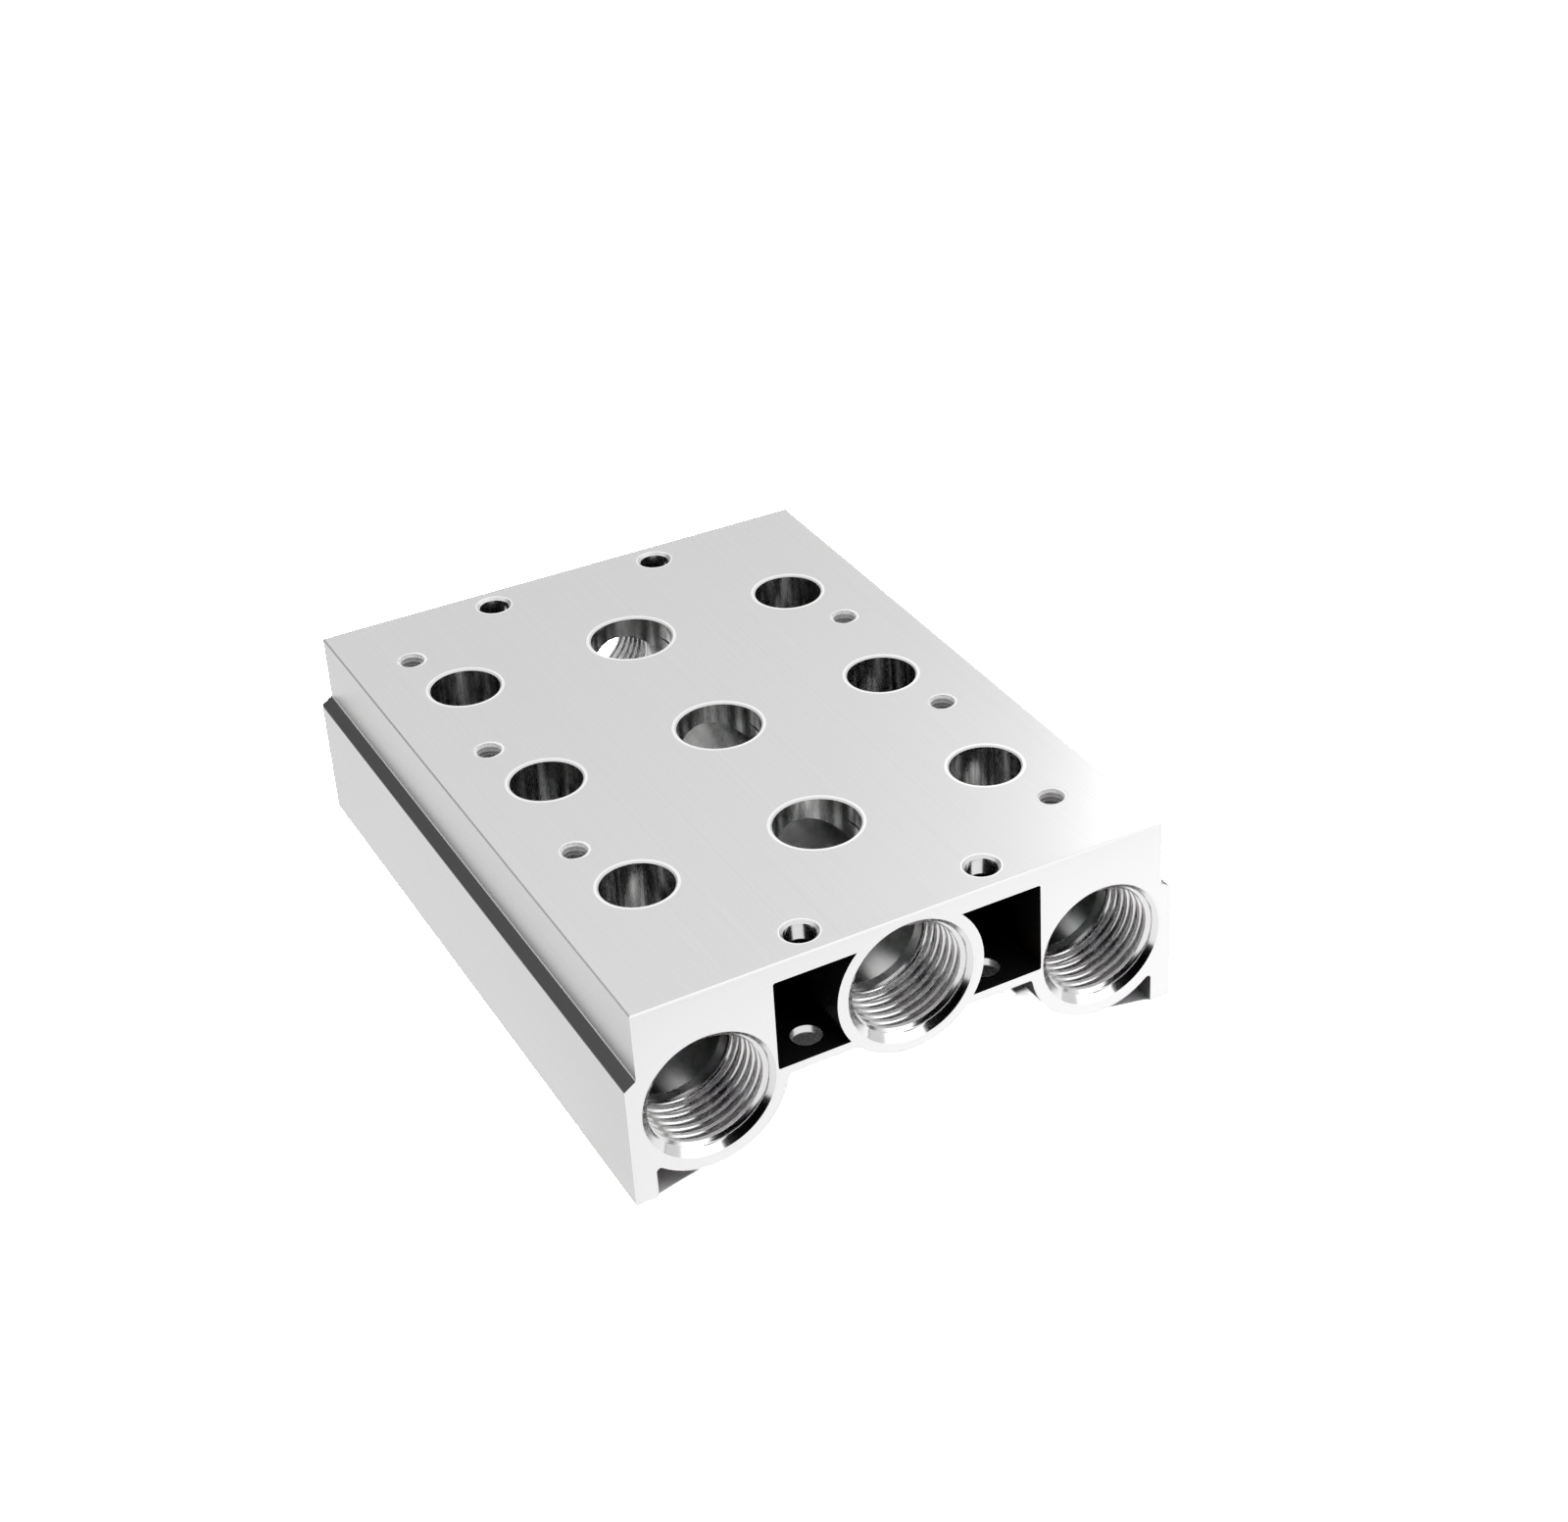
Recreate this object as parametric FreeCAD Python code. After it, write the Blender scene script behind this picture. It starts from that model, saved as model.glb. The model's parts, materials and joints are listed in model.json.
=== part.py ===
"""Base block for a row of solenoid valves, cut from one aluminium extrusion, in millimetres.

X runs across the valves, Y along the extrusion, Z up. The origin is the middle of the footprint,
in the plane that the two feet stand on.
"""
import FreeCAD, Part
import math
import os

# Stations along the block
stations = 3
station_pitch = 35.0
row_to_end = 29.75

# Outside of the extrusion
height = 35.0
top_width = 93.0
side_step = 2.0
step_depth = 11.9
step_fall = 1.35
leg_wall = 3.8

# Three channels that run the whole length
outer_port_height = 15.4
channel_radius = 9.2
port_side_wall = 3.0225
outer_ring_wall = 2.87
centre_ring_wall = 2.52

# Hollows on both sides of the centre channel
top_wall = 3.5
web_height = 13.65
web_thickness = 1.6
hollow_port_wall = 1.02

# Pipe thread in the channel ends, 1/2 inch parallel, cut at its root
port_root_radius = 10.4775
port_thread_depth = 13.5
port_mouth_radius = 11.15

# Valve passages in the top
supply_hole_radius = 7.2
exhaust_hole_radius = 6.0
exhaust_hole_inset = 3.6
hole_edge = 0.25

# Valve screws, M5, one at each end of a valve on a diagonal, cut at the thread's root
valve_screw_radius = 2.5
valve_screw_mouth_radius = 2.6
valve_screw_floor = 0.6
valve_screw_outset = 0.75
valve_screw_offset_y = 13.75
drill_point_angle = 118.0

# Fixing holes for the whole block, through the top wall and the web
fixing_hole_radius = 2.6
fixing_mouth_radius = 3.1
fixing_hole_to_ring = 0.4025
fixing_hole_to_end = 5.3

# Broken top edges of the sawn ends
end_edge = 0.25

# Die radii of the extrusion
top_edge = 0.2
lip_radius = 0.3
step_root_radius = 0.5
foot_radius = 0.3
underside_root_radius = 0.6
hollow_corner_radius = 0.4

# How far a cutting tool runs past the face it enters
overrun = 1.0

# Sizes that follow from those above
length = (stations - 1) * station_pitch + 2 * row_to_end
end_y = length / 2
top_half = top_width / 2
base_half = top_half + side_step
step_z = height - step_depth
leg_inner_x = base_half - leg_wall
port_spacing = base_half - port_side_wall - port_root_radius
centre_port_height = height - top_wall - channel_radius
outer_ring_radius = port_root_radius + outer_ring_wall
centre_ring_radius = port_root_radius + centre_ring_wall
hollow_outer_x = port_spacing - port_root_radius - hollow_port_wall
hollow_floor = web_height + web_thickness
hollow_ceiling = height - top_wall
exhaust_hole_offset = port_spacing - exhaust_hole_inset
valve_screw_offset_x = port_spacing + valve_screw_outset
valve_screw_point = valve_screw_radius / math.tan(math.radians(drill_point_angle / 2))
valve_screw_bottom = height - outer_port_height - port_root_radius - valve_screw_floor
fixing_hole_offset_x = centre_ring_radius + fixing_hole_to_ring + fixing_hole_radius
row_places = [(k - (stations - 1) / 2) * station_pitch for k in range(stations)]
channels = [(-port_spacing, outer_port_height), (0.0, centre_port_height), (port_spacing, outer_port_height)]


def end_point(x, z):
    """A point of the front end face."""
    return FreeCAD.Vector(x, -end_y, z)


def circle_side(radius, drop):
    """Half the width of a circle at a distance drop from its centre."""
    return math.sqrt(radius ** 2 - drop ** 2)


def line(a, b):
    return Part.LineSegment(end_point(*a), end_point(*b)).toShape()


def arc(a, middle, b):
    return Part.Arc(end_point(*a), end_point(*middle), end_point(*b)).toShape()


ring_at_leg_z = outer_port_height - circle_side(outer_ring_radius, leg_inner_x - port_spacing)
ring_at_web_x = port_spacing - circle_side(outer_ring_radius, outer_port_height - web_height)
centre_at_web_x = circle_side(centre_ring_radius, centre_port_height - web_height)


def side_edges(side):
    """Outline from the top edge, over the step and the leg, along the outer ring and the web."""
    def at(x, z):
        return (side * x, z)

    corners = [
        at(top_half, height),
        at(top_half, step_z),
        at(base_half, step_z - step_fall),
        at(base_half, 0.0),
        at(leg_inner_x, 0.0),
        at(leg_inner_x, ring_at_leg_z),
    ]
    edges = [line(a, b) for a, b in zip(corners, corners[1:])]
    ring_end = at(ring_at_web_x, web_height)
    edges.append(arc(corners[-1], at(port_spacing, outer_port_height - outer_ring_radius), ring_end))
    edges.append(line(ring_end, at(centre_at_web_x, web_height)))
    return edges


def along_edges(solid, places):
    """The edges that run along the block through the given points of the section."""
    found = []
    for edge in solid.Edges:
        a, b = edge.Vertexes[0].Point, edge.Vertexes[-1].Point
        if abs(abs(a.y - b.y) - length) > 0.01:
            continue
        if any(math.hypot(a.x - x, a.z - z) < 0.01 for x, z in places):
            found.append(edge)
    return found


def both_sides(x, z):
    return [(-x, z), (x, z)]


def extruded_outside():
    """The extrusion with nothing bored, with its die radii."""
    bottom = (0.0, centre_port_height - centre_ring_radius)
    edges = side_edges(-1) + side_edges(1)
    edges.append(arc((-centre_at_web_x, web_height), bottom, (centre_at_web_x, web_height)))
    edges.append(line((-top_half, height), (top_half, height)))
    outline = Part.Wire(Part.__sortEdges__(edges))
    block = Part.Face(outline).extrude(FreeCAD.Vector(0, length, 0))
    block = block.makeChamfer(top_edge, along_edges(block, both_sides(top_half, height)))
    rounded = [
        (step_root_radius, both_sides(top_half, step_z)),
        (lip_radius, both_sides(base_half, step_z - step_fall)),
        (foot_radius, both_sides(base_half, 0.0) + both_sides(leg_inner_x, 0.0)),
        (underside_root_radius, both_sides(leg_inner_x, ring_at_leg_z)),
        (underside_root_radius, both_sides(ring_at_web_x, web_height)),
        (underside_root_radius, both_sides(centre_at_web_x, web_height)),
    ]
    for radius, places in rounded:
        block = block.makeFillet(radius, along_edges(block, places))
    return block


def rod(x, z, radius, start, depth):
    """A round bar along Y."""
    return Part.makeCylinder(radius, depth, FreeCAD.Vector(x, start, z), FreeCAD.Vector(0, 1, 0))


def hollow(side):
    """The hollow between the centre channel's ring and an outer channel."""
    wide = Part.makeBox(
        hollow_outer_x,
        length,
        hollow_ceiling - hollow_floor,
        FreeCAD.Vector(min(0.0, side * hollow_outer_x), -end_y, hollow_floor),
    )
    corners = [(side * hollow_outer_x, hollow_floor), (side * hollow_outer_x, hollow_ceiling)]
    wide = wide.makeFillet(hollow_corner_radius, along_edges(wide, corners))
    return wide.cut(rod(0.0, centre_port_height, centre_ring_radius, -end_y, length))


def turned(profile, place, axis):
    """Turns a section of (radius, depth) points about an axis that starts at a place."""
    points = [FreeCAD.Vector(radius, 0, depth) for radius, depth in profile]
    section = Part.Face(Part.makePolygon(points + points[:1]))
    tool = section.revolve(FreeCAD.Vector(), FreeCAD.Vector(0, 0, 1), 360)
    tool.Placement = FreeCAD.Placement(place, FreeCAD.Rotation(FreeCAD.Vector(0, 0, 1), axis))
    return tool


def threaded_port(x, z, end):
    """Mouth, thread root and run-out of one channel end, for the front (-1) or back (1) face."""
    mouth_depth = port_mouth_radius - port_root_radius
    run_out = port_root_radius - channel_radius
    profile = [
        (0.0, -overrun),
        (port_mouth_radius + overrun, -overrun),
        (port_root_radius, mouth_depth),
        (port_root_radius, port_thread_depth),
        (channel_radius, port_thread_depth + run_out),
        (0.0, port_thread_depth + run_out),
    ]
    return turned(profile, FreeCAD.Vector(x, end * end_y, z), FreeCAD.Vector(0, -end, 0))


def top_hole(x, y, radius, mouth_radius, bottom, point=0.0):
    """A hole drilled down from the top face to a depth, with a broken edge and a drill point."""
    profile = [
        (0.0, -overrun),
        (mouth_radius + overrun, -overrun),
        (radius, mouth_radius - radius),
        (radius, bottom - point),
        (0.0, bottom),
    ]
    return turned(profile, FreeCAD.Vector(x, y, height), FreeCAD.Vector(0, 0, -1))


def channel_tools():
    """The three through channels with a threaded port at each end."""
    tools = []
    for x, z in channels:
        tools.append(rod(x, z, channel_radius, -end_y - overrun, length + 2 * overrun))
        tools += [threaded_port(x, z, end) for end in (-1, 1)]
    return tools


def station_tools(y):
    """The supply hole, the two exhaust holes and the two screw holes of one valve."""
    tools = [top_hole(0.0, y, supply_hole_radius, supply_hole_radius + hole_edge, height - centre_port_height)]
    for side in (-1, 1):
        tools.append(top_hole(
            side * exhaust_hole_offset,
            y,
            exhaust_hole_radius,
            exhaust_hole_radius + hole_edge,
            height - outer_port_height,
        ))
        tools.append(top_hole(
            side * valve_screw_offset_x,
            y - side * valve_screw_offset_y,
            valve_screw_radius,
            valve_screw_mouth_radius,
            valve_screw_bottom,
            valve_screw_point,
        ))
    return tools


def fixing_tools():
    """The four holes that hold the block down."""
    fixing_y = end_y - fixing_hole_to_end
    depth = height - web_height + overrun
    return [
        top_hole(x, y, fixing_hole_radius, fixing_mouth_radius, depth)
        for x in (-fixing_hole_offset_x, fixing_hole_offset_x)
        for y in (-fixing_y, fixing_y)
    ]


def end_edge_tools():
    """Bevel cutters for the edge between the top and each sawn end."""
    tools = []
    for end in (-1, 1):
        corners = [
            (end_y - end_edge - overrun, height + overrun),
            (end_y + overrun, height + overrun),
            (end_y + overrun, height - end_edge - overrun),
        ]
        points = [FreeCAD.Vector(-base_half, end * y, z) for y, z in corners]
        bevel = Part.Face(Part.makePolygon(points + points[:1]))
        tools.append(bevel.extrude(FreeCAD.Vector(2 * base_half, 0, 0)))
    return tools


def manifold_block():
    tools = [hollow(-1), hollow(1)] + channel_tools() + fixing_tools() + end_edge_tools()
    for y in row_places:
        tools += station_tools(y)
    return extruded_outside().cut(tools).removeSplitter()


os.makedirs("parts", exist_ok=True)
block = manifold_block()
print("solids", len(block.Solids), "valid", block.isValid(), "volume", round(block.Volume))
block.Solids[0].exportStep("parts/manifold_block.step")
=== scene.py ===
"""Looks of the aluminium base block: cut threads, surface finish, floor, light and camera, in metres.

X runs across the valves, Y along the extrusion, Z up. Places and sizes of the block come from the
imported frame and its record.
"""
import json
import math

import bmesh
import bpy
from mathutils import Euler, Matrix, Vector


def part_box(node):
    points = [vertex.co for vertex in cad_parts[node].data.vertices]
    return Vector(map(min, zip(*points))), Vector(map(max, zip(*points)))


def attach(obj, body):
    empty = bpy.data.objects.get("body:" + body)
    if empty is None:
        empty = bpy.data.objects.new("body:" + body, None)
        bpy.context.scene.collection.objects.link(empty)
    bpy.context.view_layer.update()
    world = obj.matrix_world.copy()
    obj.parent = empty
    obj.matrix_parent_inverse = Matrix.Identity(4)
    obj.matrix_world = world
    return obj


MM = 0.001

# Half inch parallel pipe thread and M5: pitch, full depth, the height that the tapping drill leaves,
# half the flank angle in degrees, and the steps in one turn
PIPE_THREAD = {
    "pitch": 1.814 * MM,
    "depth": 1.162 * MM,
    "height": 0.85 * MM,
    "flank": 27.5,
    "turn_steps": 96,
}
SCREW_THREAD = {
    "pitch": 0.8 * MM,
    "depth": 0.433 * MM,
    "height": 0.4 * MM,
    "flank": 30.0,
    "turn_steps": 40,
}

# Steps across the rounded root and across a flank, and how many turns the run-out takes
ROUND_STEPS = 4
FLANK_STEPS = 3
FADING_TURNS = 2.0

# The turn at which a crest crosses the face
THREAD_START = -0.07

# A thread's sleeve starts a hair below the face, lies a hair proud of the wall and is backed inside it
SLEEVE_START = 0.02 * MM
SLEEVE_PROUD = 0.02 * MM
SLEEVE_BACKING = 0.4 * MM
MERGE_DISTANCE = 0.0005 * MM
SHARP_ANGLE = 40

# Sizes of the block that its record doesn't state
CHANNEL_RADIUS = 9.2 * MM
SCREW_OFFSET = Vector((35.75, 13.75, 0)) * MM
SCREW_MOUTH = 0.1 * MM
SCREW_THREAD_DEPTH = 7.0 * MM
HOLE_EDGE = 0.25 * MM
END_EDGE = 0.25 * MM
STEP_HEIGHTS = (21.65 * MM, 23.1 * MM)
STEP_WIDTH = 2.2 * MM
LEG_INSIDE = 44.7 * MM

# Finishes, as colour and roughness. Some of them are painted light and shade, as marked
SKIN = (0.76, 0.33)
SAWN = (1.0, 0.3)
BEVEL = (0.98, 0.3)
DRILLED = (0.8, 0.2)
# Painted light: the walls of the supply passages are painted lighter than the other drilled walls
SUPPLY_WALL_LIGHT = (1.0, 0.2)
# Painted shade: the channels, and the threads deep in the ports, are painted darker
CHANNEL_SHADE = (0.66, 0.22)
THREAD = (0.85, 0.14)
CREST = (1.0, 0.95)
EDGE = (0.8, 0.6)
# Painted highlight: a bright band on the top round the rims of the large holes
RIM_HIGHLIGHT = (1.0, 0.4)
# Painted shade: the hollows are painted nearly black
HOLLOW_SHADE = (0.03, 0.6)
# Painted shade: the faces under the web, between the legs, are painted darker
UNDERSIDE_SHADE = (0.4, 0.4)
# Painted reflection: the slanted side steps are painted dark, on top of the dark studio patch that they
# reflect
STEP_DARK_REFLECTION = (0.18, 0.33)

# How far colour and roughness vary to both sides
SKIN_SPREAD = (0.03, 0.05)
THREAD_SPREAD = (0.02, 0.02)

# Painted highlight and shade on the drilled passage walls: darkest and brightest streaks of their
# colour, with lighter darkest streaks in the supply holes, and how sharply the noise is cut into
# streaks
DRILL_PAINTED_STREAKS = (0.35, 1.0)
SUPPLY_PAINTED_STREAKS = 0.7
STREAK_CONTRAST = 3.0
STREAK_OFFSET = 1.0

# Painted shade and highlight: the screw threads get darker with depth below the top, and at the top
# they are painted lighter than the top face
SCREW_SHADE_DEPTH = 2.6 * MM
SCREW_SHADE = (1.0, 0.58)
SCREW_ROUGHNESS = 0.95

# Where the finishes end
HAIR = 0.03 * MM
MOUTH_WIDTH = 0.7 * MM
RIM_WIDTH = 0.5 * MM
CHANNEL_INSET = 0.2 * MM
UNDERSIDE_REACH = 0.4 * MM
HOLLOW_MARGIN = 0.4 * MM
HOLLOW_OFF_CHANNEL = 1.0 * MM
THREAD_SHOWS_TO = 12.8 * MM
SCREW_MARGIN_ACROSS = 5 * MM
SCREW_MARGIN_BELOW = 1 * MM
PASSAGES_TO = 50.0 * MM
SUPPLIES_TO = 13.75 * MM

# Noise of the finishes, in cycles a metre along X, Y and Z
DIE_LINES = (3500.0, 14.0, 3500.0)
SKIN_PATCHES = (30.0, 12.0, 30.0)
SAW_GRAIN = (1200.0, 1200.0, 1200.0)
DRILL_LINES = (1100.0, 1100.0, 12.0)
CHANNEL_LINES = (700.0, 10.0, 700.0)
THREAD_GRAIN = (300.0, 300.0, 300.0)
CARD_CLOUDS = (5.0, 5.0, 5.0)
LINE_DETAIL = 3.0
GRAIN_DETAIL = 2.0

# Depth of the relief, and its strength on the plain edges, in the passages and in the channels
RELIEF_DEPTH = 0.002 * MM
THREAD_RELIEF_DEPTH = 0.0001 * MM
EDGE_RELIEF = 0.5
DRILL_RELIEF = 4.0
CHANNEL_RELIEF = 6.0

# Camera, matched to the photograph
CAMERA_PLACE = Vector((-162.07, -363.39, 279.86)) * MM
CAMERA_TURN = Euler([math.radians(a) for a in (58.9732, 0.2902, -32.2573)])
CAMERA_SENSOR = 36.0
CAMERA_LENS = 63.016
CAMERA_SHIFT = (-0.16852, -0.04961)
CAMERA_CLIP = (0.01, 20.0)

# Studio: light all round, and patches of it as direction, inner and outer angle in degrees, strength
STUDIO_LEVEL = 0.71
STUDIO_PATCHES = [
    ((0.0, 0.0, 1.0), 40, 75, 0.25),
    ((-0.45, 0.78, 0.42), 14, 26, -0.5),
    ((-0.43, -0.84, 0.34), 36, 42, -2.5),
    ((0.6, 0.52, 0.6), 3, 16, 0.8),
    ((0.35, -0.6, 0.71), 10, 20, 1.1),
    ((0.72, -0.48, 0.5), 10, 16, 0.7),
    ((0.42, -0.89, 0.19), 8, 19, 0.8),
    ((-0.8, 0.6, 0.0), 10, 25, 0.6),
]

# A lamp near the block, whose gloss lies on the front right corner of the top
LAMP_PLACE = Vector((172, 95, 174)) * MM
LAMP_RADIUS = 20 * MM
LAMP_POWER = 0.055

# A pale card above and before the front edge. The top reflects it when it is seen from behind
CARD_LOW = Vector((-400, -72, 36)) * MM
CARD_HIGH = Vector((250, -72, 300)) * MM
CARD_LEVELS = (1.0, 0.98)

# The floor: its colour for light, and for the camera, which sees it white even in the block's shadow.
# Gloss shows it brighter to the right, and nearly dark from some way in front of the block
FLOOR_SIZE = 6.0
FLOOR_COLOUR = 0.9
FLOOR_COLOUR_SEEN = 30.0
FLOOR_GLOW = 0.94
FLOOR_GLOW_SLOPE = 1.1
FLOOR_GLOW_END = (125 * MM, 160 * MM)
FLOOR_GLOW_BEYOND = 0.05

# To the camera, the floor inside the footprint is painted white over the block's shadow up to a
# distance from the ends, shorter near the legs, where the shadow shows
WHITE_SLOPE = 0.25
WHITE_OPENS_AT = 8 * MM
WHITE_OPENING = 2.0
WHITE_LIMIT = 19 * MM
WHITE_LIMIT_RIGHT = 13.5 * MM
WHITE_RIGHT_FROM = 27 * MM
WHITE_FADE = 1.5 * MM

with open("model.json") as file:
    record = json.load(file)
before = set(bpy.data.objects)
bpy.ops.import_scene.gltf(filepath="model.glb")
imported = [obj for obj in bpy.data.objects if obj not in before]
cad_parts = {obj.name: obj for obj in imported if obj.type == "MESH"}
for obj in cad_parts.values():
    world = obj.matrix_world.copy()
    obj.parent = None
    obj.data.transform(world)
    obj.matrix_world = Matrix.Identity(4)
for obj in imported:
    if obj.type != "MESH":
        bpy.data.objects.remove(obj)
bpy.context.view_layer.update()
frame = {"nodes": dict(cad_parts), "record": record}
block = frame["nodes"]["manifold_block"]
mounts = {m["name"]: m for m in frame["record"]["mounts"]}
low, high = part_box("manifold_block")


def root_round(thread):
    """Radius of the rounded root that joins the two flanks at the thread's depth."""
    sine = math.sin(math.radians(thread["flank"]))
    sharp_depth = thread["pitch"] / 2 / math.tan(math.radians(thread["flank"]))
    return (sharp_depth - thread["depth"]) * sine / (2 - 2 * sine)


def rise(thread, along):
    """How far the thread stands out from its root, at a distance along from the middle of a crest."""
    half_pitch = thread["pitch"] / 2
    flank = math.radians(thread["flank"])
    radius = root_round(thread)
    rounded = radius * math.cos(flank)
    from_root = half_pitch - abs((along + half_pitch) % thread["pitch"] - half_pitch)
    if from_root < rounded:
        return radius - math.sqrt(radius ** 2 - from_root ** 2)
    on_flank = radius * (1 - math.sin(flank)) + (from_root - rounded) / math.tan(flank)
    return min(thread["height"], on_flank)


def profile_places(thread):
    """Places along one pitch, from a crest to the next, that the thread's profile needs."""
    half_pitch = thread["pitch"] / 2
    flank = math.radians(thread["flank"])
    radius = root_round(thread)
    rounded = radius * math.cos(flank)
    flank_width = (thread["height"] - radius * (1 - math.sin(flank))) * math.tan(flank)
    crest_half = half_pitch - rounded - flank_width
    falling = [0.0]
    falling += [crest_half + flank_width * k / FLANK_STEPS for k in range(FLANK_STEPS)]
    falling += [half_pitch - rounded + rounded * k / ROUND_STEPS for k in range(ROUND_STEPS)]
    return falling + [half_pitch] + [thread["pitch"] - a for a in reversed(falling[1:])]


def thread_sleeve(name, mouth, inward, radii, depths, thread, material):
    """A right-hand internal thread as a thin sleeve set in the wall of its hole.

    radii are its opening at the face, from where it narrows at 45 degrees, the hole's root radius and
    the radius at the end. depths are those of the hole's mouth and of the thread. The sleeve lies a
    hair proud of the root, so that no facet of the hole's wall comes through. The thread fades out
    over its last turns.
    """
    opening, root_radius, end_radius = radii
    mouth_depth, depth = depths
    inward = Vector(inward)
    across = Vector((1, 0, 0))
    upward = inward.cross(across)
    bottom_radius = root_radius - SLEEVE_PROUD
    crest_radius = bottom_radius - thread["height"]
    backing = root_radius + SLEEVE_BACKING
    end = depth + root_radius - end_radius
    fade_start = depth - FADING_TURNS * thread["pitch"]

    def wall_radius(along, turn):
        if along > depth:
            return crest_radius - (crest_radius - end_radius) * (along - depth) / (end - depth)
        faded = thread["height"] * min(1.0, max(0.0, (along - fade_start) / (depth - fade_start)))
        drop = thread["height"] - rise(thread, along - (turn - THREAD_START) * thread["pitch"])
        return max(crest_radius + max(0.0, drop - faded), opening - along)

    pitches = range(-2, math.ceil(end / thread["pitch"]))
    places = [k * thread["pitch"] + a for k in pitches for a in profile_places(thread)] + [end]
    back = [(end, backing), (mouth_depth, backing), (SLEEVE_START, backing + mouth_depth)]
    points, faces = [], []
    for i in range(thread["turn_steps"] + 1):
        turn = i / thread["turn_steps"]
        out = across * math.cos(2 * math.pi * turn) + upward * math.sin(2 * math.pi * turn)
        shift = (turn - THREAD_START) * thread["pitch"]
        ring = [min(end, max(SLEEVE_START, a + shift)) for a in places]
        section = [(along, wall_radius(along, turn)) for along in ring] + back
        points += [mouth + inward * along + out * radius for along, radius in section]
    per_row = len(places) + len(back)
    for i in range(thread["turn_steps"]):
        for j in range(per_row):
            a, b = i * per_row + j, i * per_row + (j + 1) % per_row
            faces.append((a, b, b + per_row, a + per_row))
    add_piece(name, points, faces, material)


def add_piece(name, points, faces, material):
    """A closed, smooth-shaded mesh that rides on the block."""
    mesh = bpy.data.meshes.new(name)
    mesh.from_pydata(points, [], faces)
    shape = bmesh.new()
    shape.from_mesh(mesh)
    bmesh.ops.remove_doubles(shape, verts=shape.verts, dist=MERGE_DISTANCE)
    bmesh.ops.recalc_face_normals(shape, faces=shape.faces)
    shape.to_mesh(mesh)
    shape.free()
    mesh.shade_smooth()
    mesh.set_sharp_from_angle(angle=math.radians(SHARP_ANGLE))
    mesh.materials.append(material)
    piece = bpy.data.objects.new(name, mesh)
    bpy.context.scene.collection.objects.link(piece)
    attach(piece, "root")


def port_threads(material):
    """The pipe threads in both ends of the three channels."""
    for name, mount in mounts.items():
        if mount["kind"] != "threaded_hole":
            continue
        outward = Vector(mount["axis"])
        middle = Vector(mount["pos_m"])
        face = middle.copy()
        face.y = high.y if outward.y > 0 else low.y
        root_radius = mount["dims"]["r_mm"] * MM
        half_length = mount["dims"]["length_mm"] * MM / 2
        middle_depth = (face - middle).length
        mouth_depth = middle_depth - half_length
        radii = (root_radius - SLEEVE_PROUD + mouth_depth, root_radius, CHANNEL_RADIUS)
        depths = (mouth_depth, middle_depth + half_length)
        piece_name = name.replace("_port_", "_thread_")
        thread_sleeve(piece_name, face, -outward, radii, depths, PIPE_THREAD, material)


def screw_threads(material):
    """The M5 threads of the valve screws, two holes on each station's diagonal."""
    for name, mount in mounts.items():
        if not name.endswith("_screws"):
            continue
        root_radius = mount["dims"]["hole_r_mm"] * MM
        crest_radius = root_radius - SCREW_THREAD["height"]
        radii = (crest_radius + SCREW_MOUTH, root_radius, crest_radius)
        depths = (SCREW_MOUTH, SCREW_THREAD_DEPTH)
        for side, word in ((-1, "left"), (1, "right")):
            place = Vector(mount["pos_m"]) + Vector((side * SCREW_OFFSET.x, -side * SCREW_OFFSET.y, 0))
            piece_name = name.replace("_screws", f"_{word}_screw_thread")
            thread_sleeve(piece_name, place, (0, 0, -1), radii, depths, SCREW_THREAD, material)


class Field:
    """A number that varies over a surface. Sums and comparisons of fields become shader nodes."""

    def __init__(self, tree, socket):
        self.tree = tree
        self.socket = socket

    def math(self, operation, *others):
        node = self.tree.nodes.new("ShaderNodeMath")
        node.operation = operation
        for value, socket in zip((self, *others), node.inputs):
            join(value, socket)
        return Field(self.tree, node.outputs[0])

    def __add__(self, other):
        return self.math("ADD", other)

    def __sub__(self, other):
        return self.math("SUBTRACT", other)

    def __rsub__(self, other):
        return self * -1.0 + other

    def __mul__(self, other):
        return self.math("MULTIPLY", other)

    def __abs__(self):
        return self.math("ABSOLUTE")

    def __lt__(self, other):
        return self.math("LESS_THAN", other)

    def __gt__(self, other):
        return self.math("GREATER_THAN", other)

    def __and__(self, other):
        return self.math("MULTIPLY", other)

    def __or__(self, other):
        return self.math("MAXIMUM", other)


def join(value, socket):
    """Sets an input to a plain value, or links it to a field."""
    if isinstance(value, Field):
        value.tree.links.new(value.socket, socket)
    else:
        socket.default_value = value


def add(tree, kind, inputs=None, output=0, **settings):
    """A new shader node with its inputs filled, as a field of one of its outputs."""
    node = tree.nodes.new(kind)
    for key, value in settings.items():
        setattr(node, key, value)
    for key, value in (inputs or {}).items():
        join(value, node.inputs[key])
    return Field(tree, node.outputs[output])


def add_output(tree, kind, shader):
    join(shader, tree.nodes.new(kind).inputs["Surface"])


def empty_tree(data):
    data.use_nodes = True
    data.node_tree.nodes.clear()
    return data.node_tree


def new_material(name):
    material = bpy.data.materials.new(name)
    return material, empty_tree(material)


def coordinates(tree):
    """The place on the surface as a vector field and as its three parts."""
    place = add(tree, "ShaderNodeTexCoord", output="Object")
    return place, [add(tree, "ShaderNodeSeparateXYZ", {"Vector": place}, axis) for axis in "XYZ"]


def noise(place, fineness, detail=GRAIN_DETAIL):
    """Noise from 0 to 1."""
    stretched = add(place.tree, "ShaderNodeVectorMath", {0: place, 1: fineness}, operation="MULTIPLY")
    return add(place.tree, "ShaderNodeTexNoise", {"Vector": stretched, "Scale": 1.0, "Detail": detail})


def length(u, v):
    return (u * u + v * v).math("SQRT")


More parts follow.
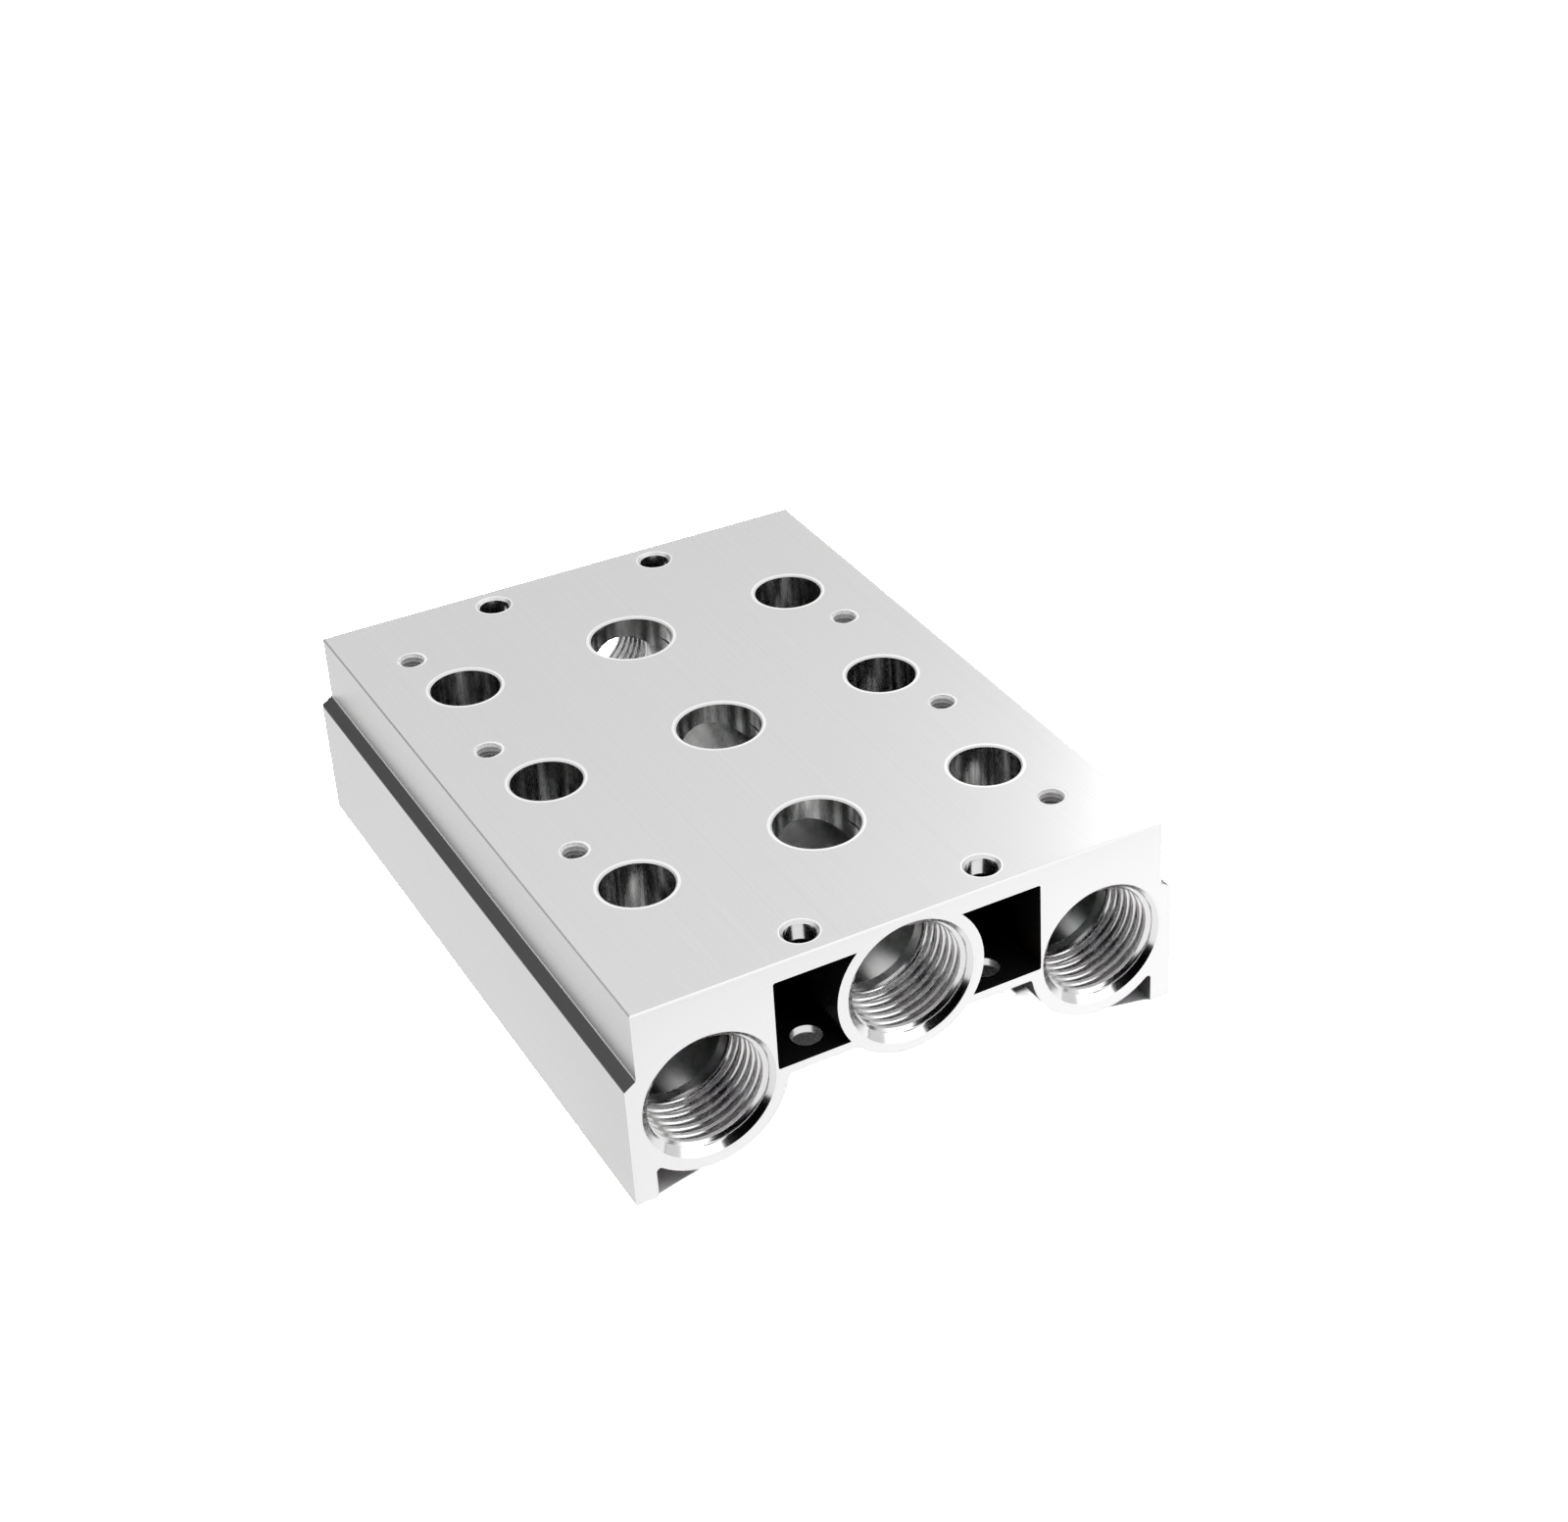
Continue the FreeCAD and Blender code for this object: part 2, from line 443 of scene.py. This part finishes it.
def clamped(field):
    return field.math("MAXIMUM", 0.0).math("MINIMUM", 1.0)


def nearest(fields):
    """The smallest of several fields."""
    smallest = fields[0]
    for field in fields[1:]:
        smallest = smallest.math("MINIMUM", field)
    return smallest


def fade(share, without, within):
    """A value that goes from without to within as share goes from 0 to 1."""
    if isinstance(without, Field):
        return add(share.tree, "ShaderNodeMix", {"Factor": share, "A": without, "B": within})
    return share.math("MULTIPLY_ADD", within - without, without)


def varied(share, middle, spread):
    return fade(share, middle - spread, middle + spread)


def masked(colour, roughness, masks):
    """Colour and roughness with finishes laid over them, each where its mask is 1."""
    for mask, (mask_colour, mask_roughness) in masks:
        colour = fade(mask, colour, mask_colour)
        roughness = fade(mask, roughness, mask_roughness)
    return colour, roughness


def metal_surface(tree, colour, roughness, relief, relief_depth):
    """Finishes a metal material with its colour, roughness and relief."""
    normal = add(tree, "ShaderNodeBump", {"Height": relief, "Distance": relief_depth})
    inputs = {"Base Color": colour, "Roughness": roughness, "Metallic": 1.0, "Normal": normal}
    add_output(tree, "ShaderNodeOutputMaterial", add(tree, "ShaderNodeBsdfPrincipled", inputs))


def screw_gap(x, y):
    """Distance to the wall of the nearest valve screw hole, negative inside it."""
    rows = [m["pos_m"][1] for n, m in mounts.items() if n.endswith("_screws")]
    radius = mounts["station_1_screws"]["dims"]["hole_r_mm"] * MM
    on_diagonal = y + x.math("SIGN") * SCREW_OFFSET.y
    from_row = nearest([abs(on_diagonal - row) for row in rows])
    return length(abs(x) - SCREW_OFFSET.x, from_row) - radius


def large_hole_gaps(x, y):
    """Distances to the walls of the nearest supply, exhaust and fixing hole, negative inside them."""
    rows = [m["pos_m"][1] for n, m in mounts.items() if n.endswith("_supply")]
    supply = mounts["station_1_supply"]
    exhaust = mounts["station_1_right_exhaust"]
    fixing = mounts["fixing_holes"]["dims"]
    from_row = nearest([abs(y - row) for row in rows])
    from_fixing_x = abs(x) - fixing["spacing_x_mm"] * MM / 2
    from_fixing_y = abs(y) - fixing["spacing_y_mm"] * MM / 2
    return [
        length(x, from_row) - supply["dims"]["r_mm"] * MM,
        length(abs(x) - exhaust["pos_m"][0], from_row) - exhaust["dims"]["r_mm"] * MM,
        length(from_fixing_x, from_fixing_y) - fixing["hole_r_mm"] * MM,
    ]


def channel_gap(x, z):
    """Distance to the root radius of the nearest channel's port, negative inside it."""
    middle = mounts["supply_port_front"]
    outer = mounts["right_exhaust_port_front"]
    return nearest([
        length(x, z - middle["pos_m"][2]) - middle["dims"]["r_mm"] * MM,
        length(abs(x) - outer["pos_m"][0], z - outer["pos_m"][2]) - outer["dims"]["r_mm"] * MM,
    ])


def block_metal():
    """Drawn skin with die lines and sawn ends. Painted light and shade: streaks in the passages,
    lighter supply walls, bright hole rims, and darker channels, hollows, underside and side steps.
    """
    material, tree = new_material("extruded_aluminium")
    place, (x, y, z) = coordinates(tree)
    to_screw, to_channel = screw_gap(x, y), channel_gap(x, z)
    to_hole = nearest([to_screw] + large_hole_gaps(x, y))

    openings = {o["name"]: o["box_m"] for o in frame["record"]["physics"]["openings"]}
    (_, _, hollow_low), (hollow_side, _, hollow_high) = openings["right_hollow"]
    web_underside = openings["right_web_space"][1][2]
    channel_wall = CHANNEL_RADIUS - mounts["supply_port_front"]["dims"]["r_mm"] * MM

    top = z > high.z - HAIR
    ends = abs(y) > high.y - HAIR
    not_ends = abs(y) < high.y - HAIR
    off_screws = to_screw > HOLE_EDGE + RIM_WIDTH
    inside = to_channel < -CHANNEL_INSET
    in_channel = to_channel < channel_wall + HAIR
    drilled = (to_hole < HAIR) & (z > web_underside) & (in_channel < 0.5)
    passage = drilled & (abs(y) < PASSAGES_TO) & (z < high.z - HOLE_EDGE)
    supply = abs(x) < SUPPLIES_TO
    edge = (to_hole < HOLE_EDGE + HAIR) & (z > high.z - HOLE_EDGE)
    rim = (to_hole > HOLE_EDGE) & (to_hole < HOLE_EDGE + RIM_WIDTH) & top
    between_legs = (abs(x) < LEG_INSIDE + HAIR) & (z < web_underside + UNDERSIDE_REACH)
    step = (z > STEP_HEIGHTS[0]) & (z < STEP_HEIGHTS[1]) & (abs(x) > high.x - STEP_WIDTH)
    past_bevel = abs(y) + z > high.y + high.z - END_EDGE - HAIR
    hollow_heights = (z > hollow_low - HOLLOW_MARGIN) & (z < hollow_high + HOLLOW_MARGIN)
    hollow = (abs(x) < hollow_side + HOLLOW_MARGIN) & hollow_heights & (to_channel > HOLLOW_OFF_CHANNEL)

    die_lines = noise(place, DIE_LINES, LINE_DETAIL)
    streaks = noise(place, DRILL_LINES, LINE_DETAIL)
    colour = varied(die_lines, SKIN[0], SKIN_SPREAD[0])
    roughness = varied(noise(place, SKIN_PATCHES), SKIN[1], SKIN_SPREAD[1])
    # Over the skin: painted shade in the channels, hollows, under the web and on the steps, painted
    # light on the supply walls and a painted highlight round the rims
    colour, roughness = masked(colour, roughness, [
        (inside, CHANNEL_SHADE),
        (drilled, DRILLED),
        (passage & supply, SUPPLY_WALL_LIGHT),
        (edge & off_screws, EDGE),
        (rim & off_screws, RIM_HIGHLIGHT),
        (between_legs & (to_channel > MOUTH_WIDTH), UNDERSIDE_SHADE),
        (step, STEP_DARK_REFLECTION),
        (ends, SAWN),
        (past_bevel & (z < high.z - HAIR) & not_ends, BEVEL),
        (hollow & not_ends, HOLLOW_SHADE),
    ])
    # Painted highlight and shade: the passage walls' colour is scaled by bright and dark streaks
    painted_streak_share = clamped(streaks * STREAK_CONTRAST - STREAK_OFFSET)
    darkest_painted_streak = fade(supply, DRILL_PAINTED_STREAKS[0], SUPPLY_PAINTED_STREAKS)
    colour = fade(passage, 1.0, fade(painted_streak_share, darkest_painted_streak, DRILL_PAINTED_STREAKS[1])) * colour

    plain = (to_hole < HOLE_EDGE) | (to_channel < MOUTH_WIDTH)
    relief = fade(plain, fade(ends, die_lines, noise(place, SAW_GRAIN)), EDGE_RELIEF)
    relief = fade(passage, relief, streaks * DRILL_RELIEF)
    channel_lines = noise(place, CHANNEL_LINES, LINE_DETAIL)
    relief = fade(in_channel & inside, relief, channel_lines * CHANNEL_RELIEF)
    metal_surface(tree, colour, roughness, relief, RELIEF_DEPTH)
    return material


def thread_metal():
    """Bright metal of the tapped threads, with painted shade deep in the ports and down the screw
    holes, and a painted highlight at the screw mouths.
    """
    material, tree = new_material("tapped_aluminium")
    place, (x, y, z) = coordinates(tree)
    grain = noise(place, THREAD_GRAIN)
    on_crest = channel_gap(x, z) < HAIR - PIPE_THREAD["height"]
    run_out = abs(y) < high.y - THREAD_SHOWS_TO
    beside_screws = abs(x) > SCREW_OFFSET.x - SCREW_MARGIN_ACROSS
    of_screw = beside_screws & (z > high.z - SCREW_THREAD_DEPTH - SCREW_MARGIN_BELOW)
    deep = (high.z - z) * (1 / SCREW_SHADE_DEPTH)
    screw_colour = fade(deep.math("MINIMUM", 1.0), *SCREW_SHADE)
    colour = varied(grain, THREAD[0], THREAD_SPREAD[0])
    roughness = varied(grain, THREAD[1], THREAD_SPREAD[1])
    colour, roughness = masked(colour, roughness, [
        (on_crest, CREST),
        # Painted shade: the thread deeper in the port takes the channel's darker colour
        (run_out, CHANNEL_SHADE),
        (of_screw, (screw_colour, SCREW_ROUGHNESS)),
    ])
    metal_surface(tree, colour, roughness, grain, THREAD_RELIEF_DEPTH)
    return material


def studio():
    """Light from all round, brighter and darker in patches, and white to the camera."""
    world = bpy.data.worlds.new("studio")
    bpy.context.scene.world = world
    tree = empty_tree(world)
    direction = add(tree, "ShaderNodeTexCoord", output="Generated")
    level = STUDIO_LEVEL
    for towards, inner, outer, strength in STUDIO_PATCHES:
        inputs = {0: direction, 1: Vector(towards).normalized()}
        facing = add(tree, "ShaderNodeVectorMath", inputs, "Value", operation="DOT_PRODUCT")
        limits = {
            "Value": facing,
            "From Min": math.cos(math.radians(outer)),
            "From Max": math.cos(math.radians(inner)),
            "To Max": strength,
        }
        level = add(tree, "ShaderNodeMapRange", limits, interpolation_type="SMOOTHSTEP") + level
    seen = add(tree, "ShaderNodeLightPath", output="Is Camera Ray")
    level = fade(seen, level.math("MAXIMUM", 0.0), 1.0)
    add_output(tree, "ShaderNodeOutputWorld", add(tree, "ShaderNodeBackground", {"Color": level}))


def lamp():
    """A small lamp that the camera doesn't see."""
    data = bpy.data.lights.new("lamp", "POINT")
    data.energy = LAMP_POWER
    data.shadow_soft_size = LAMP_RADIUS
    bulb = bpy.data.objects.new("lamp", data)
    bulb.location = LAMP_PLACE
    bulb.visible_camera = False
    bpy.context.scene.collection.objects.link(bulb)


def sheet(name, corners, material):
    """A flat piece of the studio with four corners."""
    mesh = bpy.data.meshes.new(name)
    mesh.from_pydata(corners, [], [(0, 1, 2, 3)])
    mesh.materials.append(material)
    flat = bpy.data.objects.new(name, mesh)
    bpy.context.scene.collection.objects.link(flat)
    return flat


def white_floor():
    """A pale floor that takes the block's shadow. Round the block it is white to the camera."""
    material, tree = new_material("floor")
    _, (x, y, _) = coordinates(tree)
    outside = (abs(x) > high.x) | (abs(y) > high.y)
    from_leg = LEG_INSIDE - abs(x)
    from_end = high.y - abs(y)
    opening = (from_leg - WHITE_OPENS_AT).math("MAXIMUM", 0.0) * WHITE_OPENING
    limit = fade(x > WHITE_RIGHT_FROM, WHITE_LIMIT, WHITE_LIMIT_RIGHT)
    reach = (from_leg * WHITE_SLOPE + opening).math("MINIMUM", limit)
    clear = outside | clamped((reach - from_end) * (1 / WHITE_FADE) + 0.5)
    seen = add(tree, "ShaderNodeLightPath", output="Is Camera Ray") & clear
    glossy = add(tree, "ShaderNodeLightPath", output="Is Glossy Ray") & outside
    plain = add(tree, "ShaderNodeBsdfDiffuse", {"Color": fade(seen, FLOOR_COLOUR, FLOOR_COLOUR_SEEN)})
    limits = {
        "Value": y * -1.0,
        "From Min": FLOOR_GLOW_END[0],
        "From Max": FLOOR_GLOW_END[1],
        "To Min": 1.0,
        "To Max": FLOOR_GLOW_BEYOND,
    }
    glow_colour = x.math("MULTIPLY_ADD", FLOOR_GLOW_SLOPE, FLOOR_GLOW)
    glow_colour = glow_colour * add(tree, "ShaderNodeMapRange", limits)
    glow = add(tree, "ShaderNodeEmission", {"Color": glow_colour})
    both = add(tree, "ShaderNodeMixShader", {0: glossy, 1: plain, 2: glow})
    add_output(tree, "ShaderNodeOutputMaterial", both)
    half = FLOOR_SIZE / 2
    corners = [(-half, -half, 0), (half, -half, 0), (half, half, 0), (-half, half, 0)]
    floor = sheet("floor", corners, material)


def pale_card():
    """A card that gloss shows and the camera doesn't."""
    material, tree = new_material("pale_card")
    place, _ = coordinates(tree)
    level = fade(noise(place, CARD_CLOUDS), *CARD_LEVELS)
    add_output(tree, "ShaderNodeOutputMaterial", add(tree, "ShaderNodeEmission", {"Color": level}))
    a, b = CARD_LOW, CARD_HIGH
    corners = [(a.x, a.y, a.z), (b.x, a.y, a.z), (b.x, a.y, b.z), (a.x, a.y, b.z)]
    card = sheet("pale_card", corners, material)
    card.visible_camera = False


def camera():
    data = bpy.data.cameras.new("camera")
    data.sensor_width = CAMERA_SENSOR
    data.lens = CAMERA_LENS
    data.shift_x, data.shift_y = CAMERA_SHIFT
    data.clip_start, data.clip_end = CAMERA_CLIP
    eye = bpy.data.objects.new("camera", data)
    eye.location = CAMERA_PLACE
    eye.rotation_euler = CAMERA_TURN
    bpy.context.scene.collection.objects.link(eye)
    bpy.context.scene.camera = eye


threads = thread_metal()
port_threads(threads)
screw_threads(threads)
block.data.materials.clear()
block.data.materials.append(block_metal())
studio()
lamp()
white_floor()
pale_card()
camera()
bpy.context.scene.view_settings.view_transform = "Standard"
